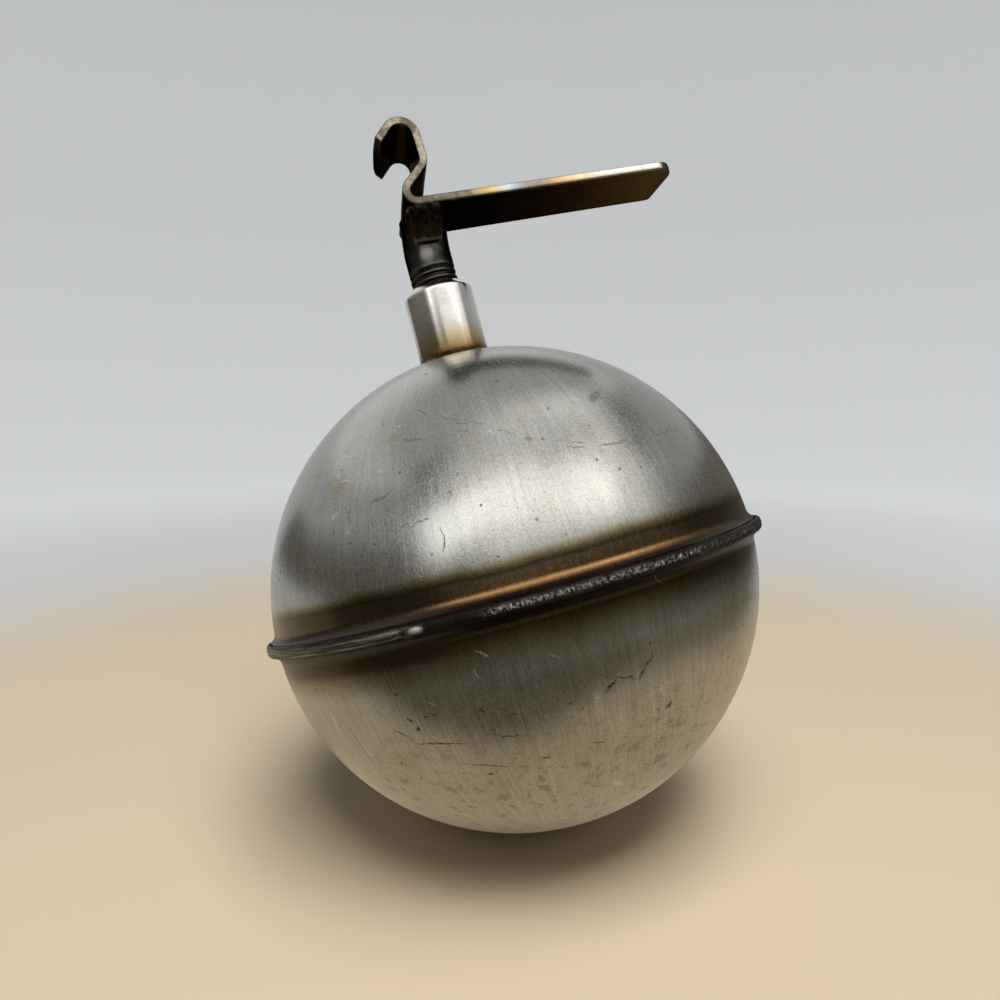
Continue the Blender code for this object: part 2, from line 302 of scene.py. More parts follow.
def build_stem(look):
    """Threaded stem, its head drawn to two flats and leaning a little towards the arm."""
    chamfer = 0.7
    heights = list(np.arange(STEM_FOOT + chamfer, THREAD_END + 0.3, PITCH / 14))
    heights += list(np.linspace(THREAD_END + 0.5, FLAT_START, 8))
    heights += list(np.linspace(FLAT_START + 0.15, STEM_HEAD, 18))

    def row_at(height, shrink):
        flat = STEM_R + (FLAT_HALF - STEM_R) * smooth(height, FLAT_START, FLAT_END + 0.3)
        lean = HEAD_LEAN * smooth(height, FLAT_START - 0.5, STEM_HEAD)
        row = []
        for step in range(STEM_STEPS):
            angle = TURN * step / STEM_STEPS
            rough = 0.05 * lumps(cos(angle) * 3, sin(angle) * 3, height * 0.6)
            radius = thread_radius(angle, height) - shrink
            if height > THREAD_END:
                radius += min(rough, 0.0)
            side = max(-flat, min(flat, radius * sin(angle)))
            row.append((AXIS_X + radius * cos(angle) + lean, side, BALL_Z + height))
        return row

    rows = [row_at(STEM_FOOT, chamfer)] + [row_at(float(h), 0.0) for h in heights]
    piece("threaded_stem", skin(rows), look, "lever", "stem", 40.0)


def strip_line():
    """The strip's middle line from the arm's tip to the hook's end: x, z, heading, share of the width."""
    middle = STRIP_UNDER + STRIP / 2
    points = []
    for turn in np.linspace(0.0, math.pi / 2, 15):
        points.append((ARM_TIP - NEAR_CORNER_R * (1.0 - cos(turn)), middle, 180.0, 1.0))
    for x in np.linspace(ARM_TIP - NEAR_CORNER_R, HEEL_X, 42)[1:]:
        points.append((float(x), middle, 180.0, 1.0))

    def turn_to(radius, to):
        x, z, heading, _ = points[-1]
        side = 1.0 if to > heading else -1.0
        start = radians(heading)
        cx, cz = x - side * radius * sin(start), z + side * radius * cos(start)
        steps = max(4, math.ceil(abs(to - heading) / 4.0))
        for here in np.linspace(heading, to, steps + 1)[1:]:
            rad = radians(here)
            x, z = cx + side * radius * sin(rad), cz - side * radius * cos(rad)
            points.append((x, z, float(here), 1.0))

    def run(length, shares):
        for share in shares:
            x, z, heading, _ = points[-1]
            rad = radians(heading)
            step = length / len(shares)
            points.append((x + step * cos(rad), z + step * sin(rad), heading, share))

    turn_to(HEEL_R, RISE_ANGLE)
    run(RISE, [1.0] * 4)
    turn_to(BULGE_R, FLANK_ANGLE)
    run(FLANK, [1.0] * 4)
    turn_to(SEAT_R, SEAT_ANGLE)
    run(HOOK_END, [1.0] * 4)
    run(HOOK_BOW, [(1.0 - step / 10.5) ** 0.4 for step in range(1, 11)])
    return points


def corner_cut(x, radius):
    """How much a rounded corner at the arm's tip takes off the strip's side at x."""
    into = x - (ARM_TIP - radius)
    return radius - sqrt(max(0.0, radius * radius - into * into)) if into > 0.0 else 0.0


def strip_section(near, far, half):
    """The strip's section as (y, lift): flat faces, rims rounded by shearing and tumbling."""
    rim = min(RIM, half * 0.9)
    near, far, flat = near + rim, far - rim, half - rim
    leaving, joining, across = np.radians((0, 25, 50, 75)), np.radians((15, 40, 65, 90)), 11
    out = [(near - rim * cos(a), flat + rim * sin(a)) for a in leaving]
    out += [(float(y), half) for y in np.linspace(near, far, across)]
    out += [(far + rim * sin(a), flat + rim * cos(a)) for a in joining]
    out += [(far + rim * cos(a), -flat - rim * sin(a)) for a in leaving]
    out += [(float(y), -half) for y in np.linspace(far, near, across)]
    out += [(near - rim * sin(a), -flat - rim * cos(a)) for a in joining]
    return out


def build_strip(look):
    """One length of strip bent into arm, heel, bulge and open hook; the bends lie slightly out of square."""
    rows = []
    line = strip_line()
    half = STRIP / 2
    for index, (x, z, heading, share) in enumerate(line):
        inset = END_EASE if index in (0, len(line) - 1) else 0.0
        near = -STRIP_HALF_WIDTH * share + corner_cut(x, NEAR_CORNER_R) * (heading == 180.0)
        far = STRIP_HALF_WIDTH * share - corner_cut(x, FAR_CORNER_R) * (heading == 180.0)
        rad = radians(heading)
        on_arm = heading == 180.0 and x > HEEL_X
        skew = HOOK_SKEW * (1.0 - smooth(x, HEEL_X, HEEL_X + 9.0)) if on_arm else HOOK_SKEW
        row = []
        for y, lift in strip_section(near + inset, far - inset, half - inset):
            wave = 0.05 * lumps(x * 0.16, y * 0.2, z * 0.16) if abs(y) < 6.8 else 0.0
            across = x - (lift + wave) * sin(rad) + skew * (y + STRIP_HALF_WIDTH)
            up = min(z + (lift + wave) * cos(rad) + BALL_Z, STRIP_TOP)
            row.append((across + AXIS_X, y, up))
        rows.append(row)
    piece("bent_strip", skin(rows), look, "lever", "lever_strip", 38.0)


def build_head_weld(name, side, look, node):
    """A short run of weld along one of the stem's flats, lumpy, feathering out under the strip's edge."""
    top, half_length, ripple_pitch = STEM_HEAD, 3.9, 1.15
    reach_to = STRIP_HALF_WIDTH - 0.12
    seed = 3.1 if side < 0 else 8.7
    rows = []
    for share in np.linspace(-1.0, 1.0, 64):
        taper = sqrt(max(0.0, 1.0 - abs(share) ** 5)) * 0.78 + 0.22
        x = HEAD_LEAN * 0.6 + half_length * share
        stem_side = sqrt(max(0.0, STEM_R**2 - (x - HEAD_LEAN) ** 2))
        back = min(FLAT_HALF, stem_side) - BITE
        reach = back + (reach_to - back) * taper
        drop = (5.2 + 0.7 * lumps(x * 0.7, 1.0, seed)) * taper
        row = [(x, side * back, top), (x, side * back, top - drop)]
        for part in np.linspace(0.0, 1.0, 26)[1:]:
            spot = Vector((x * 0.55, part * 2.1, seed))
            lump = 0.42 * noise.noise(spot) + 0.22 * noise.noise(spot * 2.6)
            ripple = 0.07 * sin(TURN * (x + 0.9 * sin(math.pi * part)) / ripple_pitch)
            bulge = sin(math.pi * part) ** 0.7 * (0.3 + lump + ripple) * taper
            if part > 0.86:
                bulge += 0.12 * max(0.0, sin(x * 2.3 + seed)) * smooth(part, 0.86, 0.95)
            y = back + (reach - back) * part**1.15 + bulge * 0.5
            z = top - drop * (1.0 - part) ** 0.9 - bulge * 0.5
            row.append((x, side * min(max(back, y), STRIP_HALF_WIDTH + 0.05), min(top, z)))
        row.append((x, side * (reach - 0.3), top))
        rows.append([(AXIS_X + x, y, BALL_Z + z) for x, y, z in row])
    piece(name, skin(rows), look, "lever", node, 50.0)


# ---- materials ----
def dial(node, **values):
    """Set a node's own inputs, named with _ for each space."""
    for name, value in values.items():
        node.inputs[name.replace("_", " ")].default_value = value


class Look:
    """Builds one material's nodes from numbers, colours and sockets, in mm from the ball's centre."""

    def __init__(self, name):
        self.material = bpy.data.materials.new(name)
        self.material.use_nodes = True
        self.tree = self.material.node_tree
        self.shader = self.tree.nodes["Principled BSDF"]
        where = self.tree.nodes.new("ShaderNodeTexCoord").outputs["Object"]
        scaled = self.vector("SCALE", where, scale=1.0 / MM)
        self.at = self.vector("SUBTRACT", scaled, tuple(CENTRE))
        parts = self.tree.nodes.new("ShaderNodeSeparateXYZ")
        self.put(parts.inputs[0], self.at)
        self.x, self.y, self.z = parts.outputs

    def put(self, socket, value):
        if isinstance(value, bpy.types.NodeSocket):
            self.tree.links.new(value, socket)
        elif isinstance(value, (tuple, list)) and len(value) == 3 and len(socket.default_value) == 4:
            socket.default_value = (*value, 1.0)
        else:
            socket.default_value = value

    def math(self, kind, a, b=0.0, c=0.0, clamp=False):
        node = self.tree.nodes.new("ShaderNodeMath")
        node.operation, node.use_clamp = kind, clamp
        for socket, value in zip(node.inputs, (a, b, c)):
            self.put(socket, value)
        return node.outputs[0]

    def add(self, a, b, clamp=False):
        return self.math("ADD", a, b, clamp=clamp)

    def times(self, a, b, clamp=False):
        return self.math("MULTIPLY", a, b, clamp=clamp)

    def sway(self, field, width):
        """A noise field moved to swing about zero, the given width from end to end."""
        return self.times(self.math("SUBTRACT", field, 0.5), width)

    def around(self):
        """Distance from the ball's axis."""
        return self.math("SQRT", self.add(self.times(self.x, self.x), self.times(self.y, self.y)))

    def total(self, *values):
        out = values[0]
        for value in values[1:]:
            out = self.add(out, value)
        return out

    def most(self, *values):
        """The greatest of several values."""
        out = values[0]
        for value in values[1:]:
            out = self.math("MAXIMUM", out, value)
        return out

    def vector(self, kind, a, b=None, scale=None):
        node = self.tree.nodes.new("ShaderNodeVectorMath")
        node.operation = kind
        self.put(node.inputs[0], a)
        if b is not None:
            self.put(node.inputs[1], b)
        if scale is not None:
            self.put(node.inputs["Scale"], scale)
        single = kind in ("LENGTH", "DOT_PRODUCT", "DISTANCE")
        return node.outputs["Value" if single else "Vector"]

    def join(self, x, y, z):
        node = self.tree.nodes.new("ShaderNodeCombineXYZ")
        for socket, value in zip(node.inputs, (x, y, z)):
            self.put(socket, value)
        return node.outputs[0]

    def noise(self, scale, detail=3.0, rough=0.55, at=None, colour=False):
        node = self.tree.nodes.new("ShaderNodeTexNoise")
        self.put(node.inputs["Vector"], at or self.at)
        dial(node, Scale=scale, Detail=detail, Roughness=rough)
        return node.outputs["Color" if colour else "Fac"]

    def cells(self, scale, at=None):
        """Distance to the nearest of many scattered points, and that point's own random colour."""
        node = self.tree.nodes.new("ShaderNodeTexVoronoi")
        self.put(node.inputs["Vector"], at or self.at)
        dial(node, Scale=scale)
        return node.outputs["Distance"], node.outputs["Color"]

    def span(self, value, low, high, to_low=0.0, to_high=1.0, soft=True):
        node = self.tree.nodes.new("ShaderNodeMapRange")
        node.interpolation_type = "SMOOTHSTEP" if soft else "LINEAR"
        for socket, item in zip(node.inputs, (value, low, high, to_low, to_high)):
            self.put(socket, item)
        return node.outputs[0]

    def mix(self, share, a, b, kind="MIX"):
        node = self.tree.nodes.new("ShaderNodeMix")
        node.data_type, node.blend_type = "RGBA", kind
        self.put(node.inputs[0], share)
        self.put(node.inputs[6], a)
        self.put(node.inputs[7], b)
        return node.outputs[2]

    def ramp(self, share, stops, top=1.0):
        """A colour along a scale from 0 to top."""
        node = self.tree.nodes.new("ShaderNodeValToRGB")
        self.put(node.inputs[0], self.times(share, 1.0 / top))
        band = node.color_ramp
        while len(band.elements) < len(stops):
            band.elements.new(1.0)
        for element, (place, colour) in zip(band.elements, stops):
            element.position = place / top
            element.color = (*colour, 1.0)
        return node.outputs[0]

    def mark(self, at, azimuth, height, turn, half_length, half_width):
        """A tapered mark lying on the ball: 1 in its middle, 0 outside."""
        az, el, lean = (radians(v) for v in (azimuth, height, turn))
        out = Vector((cos(az) * cos(el), sin(az) * cos(el), sin(el)))
        east = Vector((-sin(az), cos(az), 0.0))
        north = out.cross(east)
        along = east * cos(lean) + north * sin(lean)
        side = out.cross(along)
        turned = Matrix((along, side, out)).transposed().to_euler()
        depth, deep = 0.15, 6.0
        node = self.tree.nodes.new("ShaderNodeMapping")
        node.vector_type = "TEXTURE"
        self.put(node.inputs["Vector"], at)
        dial(node, Location=out * (BALL_R - depth), Rotation=turned, Scale=(half_length, half_width, deep))
        return self.span(self.vector("LENGTH", node.outputs[0]), 1.05, 0.45)

    def marks(self, at, table):
        return self.most(*[self.mark(at, *row) for row in table])

    def finish(self, colour, rough, height, metal=1.0, specular=0.5, glance=(1.0, 1.0, 1.0)):
        """Join colour, roughness and a bump height in millimetres to the shader."""
        self.put(self.shader.inputs["Base Color"], colour)
        self.put(self.shader.inputs["Roughness"], rough)
        self.put(self.shader.inputs["Metallic"], metal)
        dial(self.shader, Specular_IOR_Level=specular, Specular_Tint=(*glance, 1.0))
        node = self.tree.nodes.new("ShaderNodeBump")
        dial(node, Strength=1.0, Distance=MM)
        self.put(node.inputs["Height"], height)
        self.put(self.shader.inputs["Normal"], node.outputs[0])
        return self.material


# Marks on the ball: azimuth, height and turn in degrees, half length and half width in mm
UPPER_DARK = (
    (-71, 36, 34, 2.4, 0.8), (-69, 28, 29, 0.9, 0.5), (-115, 42, -47, 1.9, 0.16),
    (-106, 37, -35, 1.7, 0.2), (-109, 41, -52, 0.5, 0.3), (-93, 29, -36, 0.8, 0.5),
    (-90, 28, -16, 0.5, 0.4), (-84, 25, -21, 2.4, 0.2), (-59, 24, 2, 6.1, 0.16),
    (-93, 34, -18, 0.4, 0.3), (-85, 35, -16, 0.3, 0.3), (-118, 36, -18, 2.3, 0.4),
    (-126, 25, 10, 2.1, 0.5), (-120, 24, -16, 0.5, 0.3), (-122, 18, 25, 1.7, 0.12),
    (-118, 18, 5, 2.1, 0.12), (-114, 14, -90, 2.2, 0.12), (-132, 13, 21, 1.7, 0.15),
    (40, 30, 20, 2.2, 0.2), (95, 44, -30, 1.6, 0.5), (150, 22, 70, 3.0, 0.15), (10, 40, -50, 0.6, 0.45),
    (-116, 43, -43, 2.0, 0.14), (-109, 39, -34, 1.9, 0.12), (-103, 36, -29, 1.9, 0.12),
    (-97, 32, -36, 2.1, 0.12), (-83, 26, -33, 1.6, 0.2), (-75, 24, 0, 3.4, 0.16),
    (-128, 19, -94, 2.7, 0.1), (-125, 19, -95, 3.1, 0.12), (-134, 23, -91, 3.3, 0.1),
    (-114, 24, -87, 1.6, 0.45), (-117, 25, -1, 1.7, 0.3),
)
UPPER_LIGHT = (
    (-139, 33, -36, 0.7, 0.35), (-136, 32, 16, 0.3, 0.3), (-136, 31, -11, 1.8, 0.16),
    (-138, 24, 1, 1.2, 0.6), (-122, 41, -22, 0.3, 0.25), (-126, 31, 11, 0.7, 0.25),
    (-100, 33, -59, 0.7, 0.25), (-134, 20, -49, 0.7, 0.35), (60, 26, 35, 2.4, 0.18),
    (170, 38, -15, 1.4, 0.22),
)
UPPER_STAIN = (
    (-88, 38, -4, 2.0, 1.2), (-139, 31, -21, 3.7, 2.4), (-124, 38, -1, 1.5, 1.4), (70, 33, 15, 3.5, 2.0),
)
LOWER_DARK = (
    (-83, -17, -131, 2.9, 0.42), (-91, -19, -145, 1.5, 0.5), (-133, -19, -46, 1.9, 0.18),
    (-126, -22, -11, 4.5, 0.2), (-112, -23, -20, 3.4, 0.16), (-118, -29, -20, 3.2, 0.15),
    (-130, -16, -23, 0.6, 0.38), (-129, -18, 0, 0.6, 0.45), (-126, -16, -10, 0.4, 0.32),
    (-124, -16, -3, 0.6, 0.32), (-130, -11, -27, 0.5, 0.3), (-115, -17, -21, 0.6, 0.32),
    (-110, -19, -36, 0.4, 0.35), (-119, -31, -14, 0.6, 0.38), (-95, -30, -26, 1.3, 0.16),
    (-78, -27, 18, 0.8, 0.5), (-88, -18, -20, 2.2, 0.16), (-106, -30, -20, 0.9, 0.2),
    (25, -24, 60, 2.2, 0.22), (110, -20, -20, 3.6, 0.18), (160, -30, 40, 0.8, 0.45),
)
LOWER_LIGHT = (
    (-151, -17, -90, 3.4, 0.3), (-94, -21, -87, 2.1, 0.35), (-80, -23, -75, 0.9, 0.45),
    (-112, -7, -43, 1.1, 0.3), (-114, -10, -68, 0.9, 0.25), (-78, -3, -42, 1.8, 0.06),
    (-100, -10, -44, 0.9, 0.22), (-90, -44, -53, 1.8, 0.5), (-124, -14, -17, 0.7, 0.2),
    (70, -18, 80, 2.6, 0.25),
)
LOWER_STAIN = (
    (-99, -31, -50, 5, 5), (-116, -33, -51, 6, 6), (-84, -36, -50, 6, 4), (-124, -40, -48, 1.6, 1.5),
    (-136, -26, -26, 3, 3), (0, -35, 20, 7, 4), (120, -38, -30, 6, 5),
)

STEEL = (0.42, 0.412, 0.378)


def ball_look(name, upper):
    """Drawn stainless steel: satin grain, brushing along the meridians, pits, weld tint at the seam."""
    k = Look(name)
    unroll, stretch = 44.4, 0.045
    around = k.around()
    unit_x, unit_y = k.math("DIVIDE", k.x, around), k.math("DIVIDE", k.y, around)
    rise = k.times(k.math("ARCTAN2", k.z, around), unroll)
    brushing = k.join(k.times(unit_x, unroll), k.times(unit_y, unroll), k.times(rise, stretch))
    seed = k.vector("ADD", k.at, (13.0, 5.0, 2.0) if upper else (51.0, 17.0, 33.0))
    cloud = k.noise(0.045, 3.0, 0.55, seed)
    patch = k.noise(0.16, 4.0, 0.6, seed)
    streak = k.noise(1.1, 3.0, 0.65, brushing)
    fine_streak = k.noise(3.4, 2.0, 0.6, brushing)
    grain = k.noise(2.6, 3.0, 0.7, seed)
    sand = k.noise(6.5, 1.0, 0.5, seed)
    bend = k.vector("SUBTRACT", k.noise(0.5, 2.0, 0.5, colour=True), (0.5, 0.5, 0.5))
    bent = k.vector("ADD", k.at, k.vector("SCALE", bend, scale=1.5))

    # pits and specks: scattered cells, only some of them chosen, and only in patches
    gap, tone = k.cells(0.62, bent)
    chosen = k.span(k.vector("DOT_PRODUCT", tone, (1.0, 0.0, 0.0)), 0.62, 0.66)
    pit = k.times(k.span(gap, 0.2, 0.09), k.times(chosen, k.span(patch, 0.46, 0.6)))
    gap, tone = k.cells(1.7, bent)
    chosen = k.span(k.vector("DOT_PRODUCT", tone, (0.0, 1.0, 0.0)), 0.55, 0.6)
    speck = k.times(k.span(gap, 0.3, 0.1), k.times(chosen, k.span(cloud, 0.4, 0.62)))

    # placed marks, stains and light scratches, broken up by the grain
    dark = k.marks(bent, UPPER_DARK if upper else LOWER_DARK)
    light = k.marks(bent, UPPER_LIGHT if upper else LOWER_LIGHT)
    stain = k.marks(bent, UPPER_STAIN if upper else LOWER_STAIN)
    break_up = k.span(grain, 0.36, 0.56)
    dark = k.times(dark, k.add(0.15, k.times(break_up, 0.85)))
    light = k.times(light, k.add(0.35, k.times(break_up, 0.65)))

    # base metal; low on the lower half, the floor's tan as a painted reflection, and blotches
    colour = k.mix(k.span(cloud, 0.3, 0.7), (0.37, 0.365, 0.345), STEEL)
    colour = k.mix(k.times(k.span(patch, 0.42, 0.68), 0.35 if upper else 0.6), colour, (0.35, 0.33, 0.27))
    if not upper:
        # painted reflection: the floor's tan laid into the colour towards the bottom
        colour = k.mix(k.span(k.z, -8.0, -24.0, 0.0, 0.8), colour, (0.41, 0.372, 0.3))
        blotch = k.times(k.span(k.noise(0.42, 4.0, 0.7, seed), 0.5, 0.66), k.span(k.z, -12.0, -26.0))
        colour = k.mix(k.times(blotch, 0.7), colour, (0.2, 0.178, 0.138))

    # brushing and grain as a tone that goes over both the metal and its tint
    tone = k.span(streak, 0.25, 0.75, 0.94, 1.06)
    tone = k.times(tone, k.span(fine_streak, 0.25, 0.75, *((0.92, 1.07) if upper else (0.86, 1.12))))
    tone = k.times(tone, k.span(grain, 0.3, 0.7, 0.86, 1.1))
    tone = k.times(tone, k.span(sand, 0.3, 0.7, 0.88, 1.1))

    # weld tint, by distance from the seam, its edge wandering a little
    reach = k.math("ABSOLUTE", k.z)
    drift = k.noise(0.09, 2.0, 0.5, seed)
    wander = k.add(k.sway(drift, 1.6), k.sway(patch, 0.5))
    reach_bent = k.add(reach, k.times(wander, k.span(reach, 2.5, 6.0)))
    if upper:
        bands = (
            (0.0, (0.015, 0.009, 0.006)), (1.5, (0.02, 0.012, 0.008)), (1.9, (0.13, 0.07, 0.035)),
            (2.3, (0.28, 0.16, 0.062)), (2.8, (0.19, 0.115, 0.05)), (3.7, (0.13, 0.085, 0.05)),
            (4.2, (0.1, 0.08, 0.06)), (4.8, (0.05, 0.034, 0.018)), (5.5, (0.13, 0.1, 0.055)),
            (6.1, (0.26, 0.225, 0.15)), (6.8, (0.38, 0.365, 0.32)), (8.2, STEEL),
        )
    else:
        bands = (
            (0.0, (0.012, 0.009, 0.007)), (1.3, (0.008, 0.006, 0.004)), (1.9, (0.015, 0.01, 0.006)),
            (2.4, (0.11, 0.072, 0.032)), (2.9, (0.045, 0.028, 0.014)), (3.5, (0.08, 0.055, 0.026)),
            (4.5, (0.13, 0.104, 0.066)), (6.2, (0.25, 0.228, 0.18)), (8.8, STEEL),
        )
    tint = k.ramp(reach_bent, bands, 12.0)
    # duller colours at the run before the closing drop and at the far right, both on the near side
    far_right = k.times(k.span(k.add(k.x, k.times(patch, 8.0)), 14.0, 26.0), 0.75)
    dull = k.most(k.span(k.x, -14.0, -25.0), far_right)
    dull = k.times(k.times(dull, k.span(k.y, 6.0, -10.0)), k.span(reach, 5.4, 3.8))
    tint = k.mix(k.times(dull, 0.85), tint, (0.055, 0.042, 0.026))
    colour = k.mix(k.span(reach_bent, 10.8, 7.5), colour, tint)
    colour = k.mix(1.0, colour, k.join(tone, tone, tone), "MULTIPLY")

    rough = k.total(
        k.span(cloud, 0.3, 0.7, *((0.2, 0.27) if upper else (0.26, 0.34))),
        k.times(k.span(grain, 0.35, 0.7), 0.06),
        k.times(k.span(fine_streak, 0.45, 0.75), 0.04),
        k.times(k.span(reach, 3.0, 1.0), 0.16),
    )

    if upper:
        # straw and brown ring where the boss was welded on
        ring = k.add(around, k.sway(patch, 1.2))
        near_boss = k.times(k.span(ring, 9.6, 7.6), k.span(k.z, 30.0, 36.0))
        halo = k.ramp(
            k.math("SUBTRACT", ring, 6.0),
            ((0.0, (0.04, 0.02, 0.01)), (1.7, (0.12, 0.07, 0.03)), (2.1, (0.3, 0.24, 0.15)), (3.2, STEEL)),
            5.0,
        )
        colour = k.mix(k.times(near_boss, 0.85), colour, halo)

    # marks over everything
    colour = k.mix(k.times(stain, 0.3 if upper else 0.15), colour, (0.3, 0.25, 0.13))
    colour = k.mix(k.times(speck, 0.22), colour, (0.2, 0.15, 0.12))
    colour = k.mix(k.times(pit, 0.75), colour, (0.07, 0.055, 0.04))
    depth, soot = (0.6, (0.08, 0.07, 0.05)) if upper else (0.9, (0.03, 0.026, 0.018))
    colour = k.mix(k.times(dark, depth), colour, soot)
    colour = k.mix(k.times(light, 0.6), colour, (0.7, 0.68, 0.62))
    rough = k.add(rough, k.times(k.most(pit, dark, speck), 0.25))
    rough = k.add(rough, k.times(light, 0.18), clamp=True)

    height = k.total(
        k.times(grain, 0.006), k.times(sand, 0.003), k.times(fine_streak, 0.003),
        k.times(k.most(pit, dark), -0.02), k.times(patch, 0.012),
    )
    return k.finish(colour, rough, height)


def bead_look():
    """Edge weld: ripple crests painted bright as highlights over dark scale, greyer and grooved before the
    closing drop.
    """
    k = Look("edge_weld_metal")
    around = k.around()
    level = k.math("ABSOLUTE", k.z)
    fleck = k.noise(6.5, 3.0, 0.7)
    blotch = k.noise(0.35, 3.0, 0.6)
    lengthwise = k.join(k.times(k.x, 0.06), k.times(k.y, 0.06), k.times(k.z, 3.0))
    long_line = k.noise(1.6, 2.0, 0.6, lengthwise)
    proud = k.span(k.add(around, k.sway(fleck, 0.35)), 45.95, 46.25)
    middle = k.span(k.add(level, k.sway(fleck, 0.6)), 0.62, 0.12)
    spots = k.noise(2.3, 3.0, 0.75)
    crest = k.times(k.times(proud, middle), k.times(k.span(fleck, 0.34, 0.54), k.span(spots, 0.43, 0.6)))

    # the runs on the near side: smooth and dark just after the closing drop, grooved and grey before it
    front = k.span(k.y, 6.0, -10.0)
    after_drop = k.times(k.times(k.span(k.x, -23.6, -22.9), k.span(k.x, -13.5, -17.0)), front)
    crest = k.times(crest, k.span(after_drop, 0.0, 1.0, 1.0, 0.12))
    crest = k.times(crest, k.span(k.x, 10.0, 26.0, 1.0, 0.4))
    flat_run = k.times(k.span(k.x, -24.3, -25.1), front)
    dark = k.mix(k.span(blotch, 0.35, 0.65), (0.022, 0.018, 0.014), (0.060, 0.050, 0.041))
    # painted highlights: bright flecks of metal colour on the ripples' crests
    bright = k.mix(k.span(blotch, 0.4, 0.7), (0.62, 0.61, 0.585), (0.34, 0.325, 0.3))
    rippled = k.mix(crest, dark, bright)
    grooved = k.mix(k.span(long_line, 0.46, 0.62), (0.055, 0.05, 0.036), (0.25, 0.24, 0.195))
    rippled = k.mix(k.times(after_drop, 0.8), rippled, (0.018, 0.014, 0.011))
    colour = k.mix(flat_run, rippled, grooved)
    drop = k.mark(k.at, math.degrees(CLOSE_ANGLE) + 0.6, 0.0, 0.0, 1.35, 0.62)
    colour = k.mix(k.times(drop, k.span(fleck, 0.3, 0.6, 0.35, 1.0)), colour, (0.66, 0.65, 0.62))
    # painted shade: the bead's upper and lower flanks darkened to near black
    colour = k.mix(k.span(level, 0.58, 0.88), colour, (0.012, 0.009, 0.007))
    dull = k.math("SUBTRACT", 1.0, crest)
    rough = k.total(0.22, k.times(k.span(fleck, 0.3, 0.7), 0.2), k.times(dull, 0.12))
    grooves = k.times(k.times(long_line, flat_run), 0.1)
    height = k.total(k.times(fleck, 0.06), grooves, k.times(spots, 0.1))
    return k.finish(colour, rough, height)


def boss_look():
    """Bright turned steel, tool lines round it, straw to brown at the welded foot."""
    k = Look("turned_boss_metal")
    round_it = k.join(k.times(k.x, 0.05), k.times(k.y, 0.05), k.times(k.z, 4.0))
    lines = k.noise(2.0, 3.0, 0.6, round_it)
    cloud = k.noise(0.25, 3.0, 0.6)
    fleck = k.noise(3.5, 3.0, 0.7)
    colour = k.mix(k.span(cloud, 0.3, 0.7), (0.57, 0.545, 0.5), (0.68, 0.66, 0.62))
    colour = k.mix(k.times(k.span(lines, 0.35, 0.7), 0.25), colour, (0.42, 0.395, 0.35))
    foot = k.add(k.z, k.sway(cloud, 1.4))
    heat = k.ramp(
        k.math("SUBTRACT", foot, 43.5),
        (
            (0.0, (0.05, 0.025, 0.012)), (1.0, (0.14, 0.075, 0.032)), (1.9, (0.3, 0.2, 0.09)),
            (3.6, (0.43, 0.35, 0.21)), (7.5, (0.5, 0.46, 0.39)),
        ),
        8.0,
    )
    colour = k.mix(k.span(foot, 51.5, 46.5), colour, heat)
    wear_and_painted_highlight = k.times(k.span(k.z, BOSS_TOP - 2.6, BOSS_TOP - 1.2), k.span(fleck, 0.45, 0.65))
    colour = k.mix(k.times(wear_and_painted_highlight, 0.4), colour, (0.27, 0.24, 0.2))
    rough = k.total(
        0.12, k.times(k.span(lines, 0.3, 0.7), 0.07),
        k.times(k.span(foot, 46.5, 44.0), 0.2), k.times(k.span(fleck, 0.55, 0.75), 0.1),
    )
    height = k.add(k.times(lines, 0.006), k.times(fleck, 0.002))
    return k.finish(colour, rough, height)


def scale_look(name, darkest, mid, light, rough_low, rough_high, lump):
    """Heat-blackened steel or weld: cloudy oxide, small bright rubs, a pitted skin."""
    k = Look(name)
    cloud = k.noise(0.28, 4.0, 0.6)
    fleck = k.noise(2.4, 4.0, 0.7)
    rub = k.noise(0.9, 3.0, 0.6)
    colour = k.mix(k.span(cloud, 0.35, 0.62), darkest, mid)
    colour = k.mix(k.times(k.span(rub, 0.52, 0.72), 0.7), colour, light)
    colour = k.mix(k.times(k.span(fleck, 0.55, 0.75), 0.5), colour, darkest)
    rough = k.span(fleck, 0.3, 0.7, rough_low, rough_high)
    height = k.add(k.times(fleck, 0.04 * lump), k.times(rub, 0.1 * lump))
    return k, colour, rough, height


def stem_look():
    """Blackened steel with lighter thread crests and a painted highlight spot on the near side."""
    k, colour, rough, height = scale_look(
        "blackened_stem_metal",
        (0.014, 0.013, 0.011), (0.034, 0.032, 0.028), (0.06, 0.056, 0.048), 0.27, 0.4, 0.35,
    )
    around = k.around()
    on_thread = k.span(k.z, THREAD_END + 0.4, THREAD_END - 0.6)
    crest = k.times(k.span(around, STEM_R - 0.12, STEM_R - 0.02), on_thread)
    colour = k.mix(k.times(crest, 0.6), colour, (0.1, 0.092, 0.08))
    colour = k.mix(k.span(k.z, 64.5, 68.0), colour, (0.016, 0.012, 0.008))
    # painted highlight: a lighter spot on the near side of the shank
    wear_and_painted_highlight = k.vector("DISTANCE", k.at, (-1.2, -4.5, 63.9))
    wear_and_painted_highlight = k.span(k.add(wear_and_painted_highlight, k.times(k.noise(1.4), 1.0)), 2.6, 0.9, 0.0, 0.8)
    colour = k.mix(wear_and_painted_highlight, colour, (0.17, 0.165, 0.145))
    return k.finish(colour, rough, height, glance=(0.22, 0.21, 0.19))


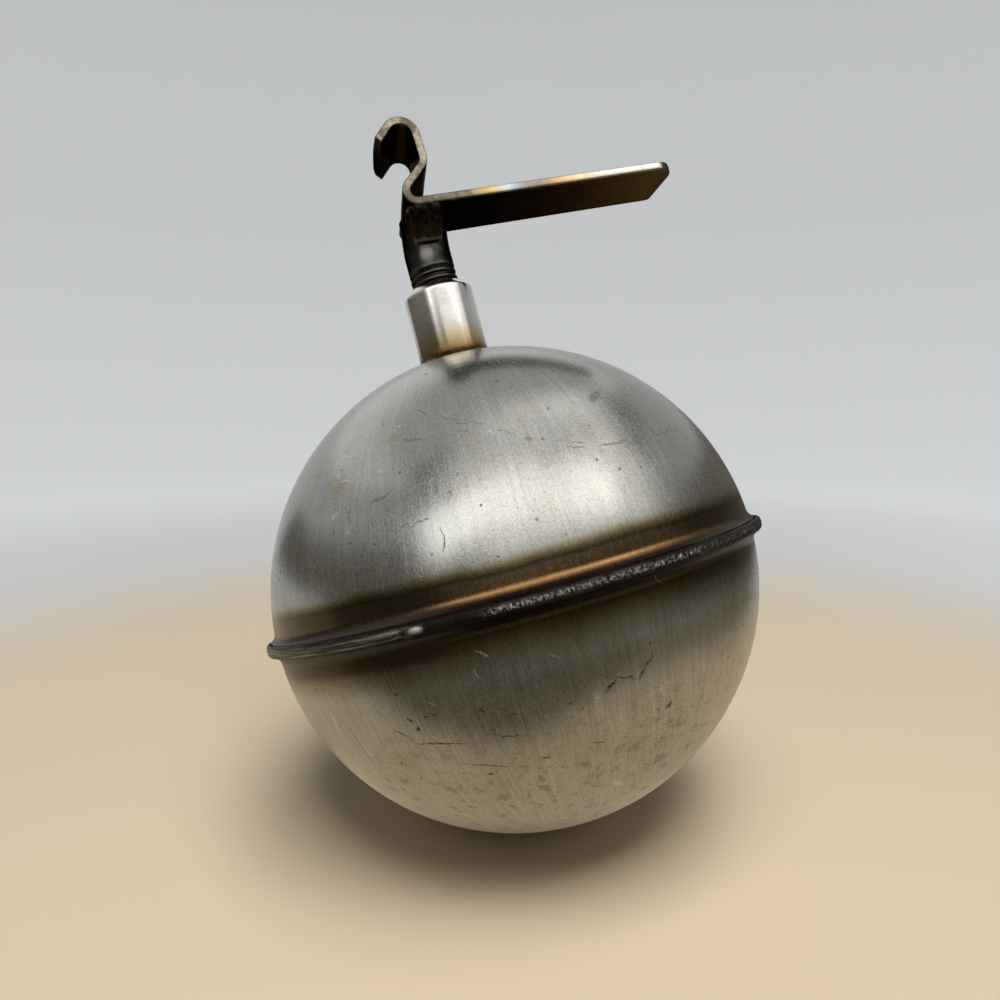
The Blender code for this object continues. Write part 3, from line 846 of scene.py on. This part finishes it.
def head_weld_look():
    """Black weld metal with upright runs, a paler rim under the strip and a browner lower edge."""
    k, colour, rough, height = scale_look(
        "head_weld_metal",
        (0.008, 0.006, 0.004), (0.018, 0.012, 0.007), (0.05, 0.034, 0.02), 0.36, 0.55, 1.0,
    )
    runs = k.noise(1.3, 3.0, 0.65, k.join(k.x, k.y, k.times(k.z, 0.28)))
    colour = k.mix(k.times(k.span(runs, 0.46, 0.62), 0.8), colour, (0.038, 0.024, 0.013))
    colour = k.mix(k.times(k.span(runs, 0.44, 0.36), 0.8), colour, (0.003, 0.002, 0.002))
    rim = k.times(k.span(k.z, STRIP_UNDER - 0.9, STRIP_UNDER - 0.4), k.span(k.noise(1.1, 2.0), 0.45, 0.6))
    colour = k.mix(k.times(rim, 0.4), colour, (0.22, 0.18, 0.13))
    lower = k.times(k.span(k.z, 69.8, 68.2), k.span(k.x, -3.2, -0.5))
    colour = k.mix(k.times(lower, 0.55), colour, (0.065, 0.045, 0.026))
    return k.finish(colour, rough, height, glance=(0.1, 0.085, 0.065))


def fillet_look():
    """The brown weld line at the boss's foot."""
    k, colour, rough, height = scale_look(
        "boss_fillet_metal",
        (0.025, 0.013, 0.007), (0.08, 0.045, 0.02), (0.2, 0.13, 0.06), 0.3, 0.45, 0.5,
    )
    return k.finish(colour, rough, height)


def strip_look():
    """Rolled strip: lengthwise rolling lines, bright sheared edges, welding colours fading along the arm."""
    k = Look("rolled_strip_metal")
    along = k.join(k.times(k.x, 0.05), k.times(k.y, 3.2), k.times(k.z, 0.05))
    rolled = k.noise(1.0, 4.0, 0.65, along)
    cloud = k.noise(0.12, 3.0, 0.6)
    patch = k.noise(0.6, 4.0, 0.65)
    fleck = k.noise(3.0, 3.0, 0.7)
    drift = k.add(k.sway(cloud, 7.0), k.sway(patch, 1.6))
    away = k.math("ABSOLUTE", k.add(k.x, drift))
    high = k.math("MAXIMUM", 0.0, k.math("SUBTRACT", k.z, 76.0))
    away = k.math("MAXIMUM", away, k.times(high, 2.6))
    ramp_end = 54.0
    # the faces: welding colours fading along the arm, kept near black as oxide and as a painted dark
    # reflection
    face = k.ramp(
        away,
        (
            (0.0, (0.018, 0.013, 0.010)), (8.0, (0.018, 0.014, 0.011)), (12.0, (0.022, 0.021, 0.022)),
            (15.0, (0.030, 0.030, 0.033)), (18.0, (0.038, 0.037, 0.036)), (26.0, (0.052, 0.046, 0.035)),
            (36.0, (0.085, 0.072, 0.048)), (50.0, (0.14, 0.12, 0.085)),
        ),
        ramp_end,
    )
    edge_heat = k.ramp(
        k.math("ABSOLUTE", k.add(k.x, k.sway(cloud, 2.0))),
        (
            (0.0, (0.1, 0.08, 0.06)), (9.0, (0.1, 0.08, 0.06)), (11.5, (0.36, 0.21, 0.09)),
            (14.0, (0.46, 0.32, 0.13)), (16.3, (0.42, 0.45, 0.46)), (18.5, (0.28, 0.31, 0.38)),
            (21.0, (0.2, 0.17, 0.17)), (25.0, (0.26, 0.18, 0.13)), (27.5, (0.46, 0.28, 0.12)),
            (31.0, (0.47, 0.39, 0.23)), (36.0, (0.46, 0.44, 0.39)),
        ),
        ramp_end,
    )
    on_hook = k.span(k.z, 74.5, 77.0)
    hook_edge = k.mix(k.span(patch, 0.35, 0.65), (0.09, 0.07, 0.05), (0.24, 0.2, 0.15))
    edge_heat = k.mix(on_hook, edge_heat, hook_edge)
    side = k.math("ABSOLUTE", k.y)
    edge = k.span(side, STRIP_HALF_WIDTH - 0.22, STRIP_HALF_WIDTH - 0.05)
    rolling = k.times(k.span(rolled, 0.35, 0.7), 0.35)
    colour = k.mix(rolling, face, k.mix(1.0, face, (0.62, 0.6, 0.58), "MULTIPLY"))
    # painted shade: the upper hook's faces darkened towards black, as inside the hook
    colour = k.mix(k.span(k.z, 77.0, 79.5, 0.0, 0.6), colour, (0.008, 0.006, 0.005))
    colour = k.mix(edge, colour, edge_heat)
    rub = k.times(k.span(side, STRIP_HALF_WIDTH - 0.7, STRIP_HALF_WIDTH - 0.2), k.span(patch, 0.42, 0.6))
    colour = k.mix(k.times(rub, 0.25), colour, (0.34, 0.3, 0.23))
    colour = k.mix(k.times(k.span(fleck, 0.58, 0.72), 0.35), colour, (0.08, 0.06, 0.045))
    rough = k.total(
        0.22, k.times(k.span(rolled, 0.3, 0.7), 0.12),
        k.times(k.span(away, 12.0, 4.0), 0.12), k.times(k.span(fleck, 0.5, 0.75), 0.1),
    )
    height = k.total(k.times(rolled, 0.008), k.times(fleck, 0.006), k.times(patch, 0.012))
    return k.finish(colour, rough, height, glance=(0.22, 0.19, 0.16))


# ---- set, light and camera ----
# The photograph's camera, and plumb as the photograph shows it: the object leans back on its ball
RIGHT = Vector((0.94023, -0.22528, -0.25537))
UP = Vector((0.23837, -0.10018, 0.96599))
BACK = Vector((-0.2432, -0.96913, -0.0405))
CAMERA_PLACE = Vector((-33.443, -140.065, -76.222)) * MM
LENS, SENSOR, CLIP = 27.036, 36.0, (0.01, 10.0)
PITCH_DOWN = radians(8.0)
PLUMB = (UP * cos(PITCH_DOWN) + BACK * sin(PITCH_DOWN)).normalized()
# how far below the ball's centre a level floor touches it
SPAN = sqrt((BALL_R * PLUMB.x) ** 2 + (BALL_R * PLUMB.y) ** 2 + (BALL_POLE * PLUMB.z) ** 2)
AWAY = PLUMB.cross(RIGHT)
FOOT = (Vector(CENTRE) - PLUMB * SPAN) * MM
LEVEL = Matrix.Translation(FOOT) @ Matrix((RIGHT, AWAY, PLUMB)).transposed().to_4x4()


FLOOR_NEAR, FLOOR_FAR = (0.72, 0.6, 0.43), (0.72, 0.735, 0.75)
BLACK = (0.0, 0.0, 0.0)


def plain(name, colour, rough, specular):
    """A plain material, with its tree and its shader to add to."""
    made = bpy.data.materials.new(name)
    made.use_nodes = True
    shader = made.node_tree.nodes["Principled BSDF"]
    dial(shader, Base_Color=(*colour, 1.0), Roughness=rough)
    dial(shader, Specular_IOR_Level=specular, Emission_Strength=1.0)
    return made, made.node_tree, shader


def fade(tree, near, far, start, end, socket):
    """Feed a socket with a colour that changes smoothly with distance, in metres, from an object's origin."""
    where = tree.nodes.new("ShaderNodeTexCoord")
    away = tree.nodes.new("ShaderNodeVectorMath")
    away.operation = "LENGTH"
    share = tree.nodes.new("ShaderNodeMapRange")
    share.interpolation_type = "SMOOTHSTEP"
    dial(share, From_Min=start, From_Max=end)
    blend = tree.nodes.new("ShaderNodeMix")
    blend.data_type = "RGBA"
    blend.inputs[6].default_value, blend.inputs[7].default_value = (*near, 1.0), (*far, 1.0)
    tree.links.new(where.outputs["Object"], away.inputs[0])
    tree.links.new(away.outputs["Value"], share.inputs["Value"])
    tree.links.new(share.outputs[0], blend.inputs[0])
    tree.links.new(blend.outputs[2], socket)


def glow(name, near, far, start, end):
    """A plain self-lit surface, from one colour near the object's foot to another further off."""
    made, tree, shader = plain(name, BLACK, 1.0, 0.0)
    fade(tree, near, far, start, end, shader.inputs["Emission Color"])
    return made


def staged(name, form, look, place):
    """Make a piece of the set, which isn't part of the object."""
    made = to_object(name, form, look)
    made.matrix_world = place
    return made


def build_floor():
    """A pale floor and a backdrop that sweeps up round it, level as the photograph's board is.

    The backdrop doesn't light the floor.
    """
    near = [(float(radius), 0.0) for radius in (0, 60, 120, 200, 300)]
    sweep = [(float(radius), 0.0) for radius in (300, 400, 500, 600)]
    sweep += arc((600.0, 500.0), 500.0, -90.0, 0.0, 24)[1:]
    sweep += [(1100.0, 900.0), (1100.0, 1200.0)]
    look, tree, shader = plain("pale_floor", FLOOR_NEAR, 0.75, 0.2)
    fade(tree, FLOOR_NEAR, FLOOR_FAR, 0.12, 0.3, shader.inputs["Base Color"])
    # painted light: the far floor and the backdrop glow, more with distance from the ball's foot
    fade(tree, BLACK, (0.31, 0.32, 0.325), 0.16, 0.6, shader.inputs["Emission Color"])
    for name, profile in (("floor", near), ("backdrop", sweep)):
        rows = []
        for step in range(FLOOR_STEPS):
            angle = TURN * step / FLOOR_STEPS
            rows.append([(r * cos(angle), r * sin(angle), h) for r, h in profile])
        form = skin(rows, wrap_rows=True, wrap_columns=False)
        bmesh.ops.remove_doubles(form, verts=form.verts, dist=0.001)
        made = staged(name, form, look, LEVEL)
        made.visible_diffuse = name == "floor"


def area_light(name, azimuth, height, distance, wide, tall, radiance, colour):
    """A soft box that faces the ball. Azimuth 0 is the -Y side and turns towards +X. Sizes in metres."""
    data = bpy.data.lights.new(name, "AREA")
    data.shape, data.size, data.size_y = "RECTANGLE", wide, tall
    data.energy = radiance * math.pi * wide * tall
    data.color = colour
    made = bpy.data.objects.new(name, data)
    az, el = radians(azimuth), radians(height)
    way = Vector((sin(az) * cos(el), -cos(az) * cos(el), sin(el)))
    made.location = Vector(CENTRE) * MM + way * distance
    made.rotation_mode = "QUATERNION"
    made.rotation_quaternion = (-way).to_track_quat("-Z", "Y")
    made.visible_camera = False
    bpy.context.scene.collection.objects.link(made)
    return made


def build_light():
    """Five soft boxes that the metal reflects, a sixth above that only the floor feels, and a dim world."""
    boxes = (
        ("key", -2.0, 37.0, 0.7, 1.2, 0.27, 2.15, (1.0, 0.995, 0.965)),
        ("key_right", 51.0, 34.0, 0.7, 0.34, 0.28, 1.0, (1.0, 0.99, 0.96)),
        ("key_low", 19.0, 19.0, 0.72, 1.15, 0.19, 0.85, (1.0, 0.985, 0.94)),
        ("front_top", 26.0, 62.0, 0.75, 1.1, 0.42, 0.82, (1.0, 1.0, 0.99)),
        ("ceiling", 180.0, 72.0, 0.95, 1.9, 1.3, 0.46, (1.0, 1.0, 0.98)),
    )
    for box in boxes:
        area_light(*box).visible_diffuse = False
    area_light("above", 18.0, 54.0, 0.75, 0.5, 0.42, 9.4, (1.0, 0.985, 0.96)).visible_glossy = False
    world = bpy.data.worlds.new("world")
    world.use_nodes = True
    dial(world.node_tree.nodes["Background"], Color=(0.96, 0.98, 1.0, 1.0), Strength=0.12)
    bpy.context.scene.world = world


# The lit boards' edge in front of the ball, as its underside mirrors it: x, y in mm on the floor
BOARD_EDGE = ((-95, -45), (-58, -58), (0, -62), (20, -73), (49, -88), (80, -82))
ROOM = ((104, -72), (130, -48), (145, -4), (190, 120), (420, 420), (700, 500), (700, -800), (-700, -800))
UNDER_BALL = ((85, -30), (45, 0), (-45, 0), (-85, -20))
WALL_R, WALL_FOOT = 450.0, BALL_Z - 160.0


def floor_card(name, outline, look):
    """A flat card lying just above the floor."""
    form = bmesh.new()
    form.faces.new([form.verts.new((x, y, 1.0)) for x, y in outline])
    return staged(name, form, look, LEVEL)


def build_cards():
    """Self-lit cards that only reflections see: painted dark reflections past the boards and round the walls,
    a painted reflection of lit floor under the ball.
    """
    dark = glow("floor_card_painted_dark_reflection", (0.110, 0.092, 0.064), (0.2, 0.175, 0.13), 0.08, 0.3)
    cards = [floor_card("floor_card", ((-700, -70), *BOARD_EDGE, *ROOM), dark)]
    # painted reflection: lit floor under the ball's front, where the real floor lies in shade
    light = glow("near_card_painted_floor_reflection", (0.05, 0.04, 0.03), (0.62, 0.535, 0.385), 0.012, 0.032)
    cards.append(floor_card("near_card", (*BOARD_EDGE, *UNDER_BALL), light))
    rows = []
    for azimuth in range(-160, 171, 5):
        left = 1.0 - smooth(azimuth, -58.0, -42.0)
        right = smooth(azimuth, 52.0, 80.0)
        ends = smooth(azimuth, -160.0, -140.0) * (1.0 - smooth(azimuth, 150.0, 170.0))
        top = WALL_R * math.tan(radians((8.0 + 19.0 * left + 7.0 * right) * ends))
        az = radians(azimuth)
        way = (WALL_R * sin(az), -WALL_R * cos(az))
        rows.append([(*way, WALL_FOOT), (*way, BALL_Z + top)])
    # painted dark reflection: a dim self-lit band round the walls
    painted_dark_reflection = glow("wall_card_painted_dark_reflection", (0.14, 0.13, 0.106), (0.14, 0.13, 0.106), 0.0, 1.0)
    form = skin(rows, wrap_columns=False, caps=False)
    cards.append(staged("wall_card", form, painted_dark_reflection, Matrix.Identity(4)))
    for card in cards:
        card.visible_camera = card.visible_diffuse = card.visible_shadow = False


def build_camera():
    """The photograph's camera, fitted to the ball's outline, the seam and the strip."""
    data = bpy.data.cameras.new("camera")
    data.lens, data.sensor_width = LENS, SENSOR
    data.clip_start, data.clip_end = CLIP
    camera = bpy.data.objects.new("camera", data)
    turned = Matrix((RIGHT, UP, BACK)).transposed().to_4x4()
    camera.matrix_world = Matrix.Translation(CAMERA_PLACE) @ turned
    bpy.context.scene.collection.objects.link(camera)
    bpy.context.scene.camera = camera


build_camera()
build_shells(ball_look("upper_half_metal", True), ball_look("lower_half_metal", False))
build_bead(bead_look())
build_boss(boss_look())
build_boss_weld(fillet_look())
build_stem(stem_look())
build_strip(strip_look())
weld_metal = head_weld_look()
build_head_weld("front_weld", -1.0, weld_metal, "front_head_weld")
build_head_weld("rear_weld", 1.0, weld_metal, "rear_head_weld")
build_floor()
build_cards()
build_light()
bpy.context.scene.view_settings.view_transform = "Standard"
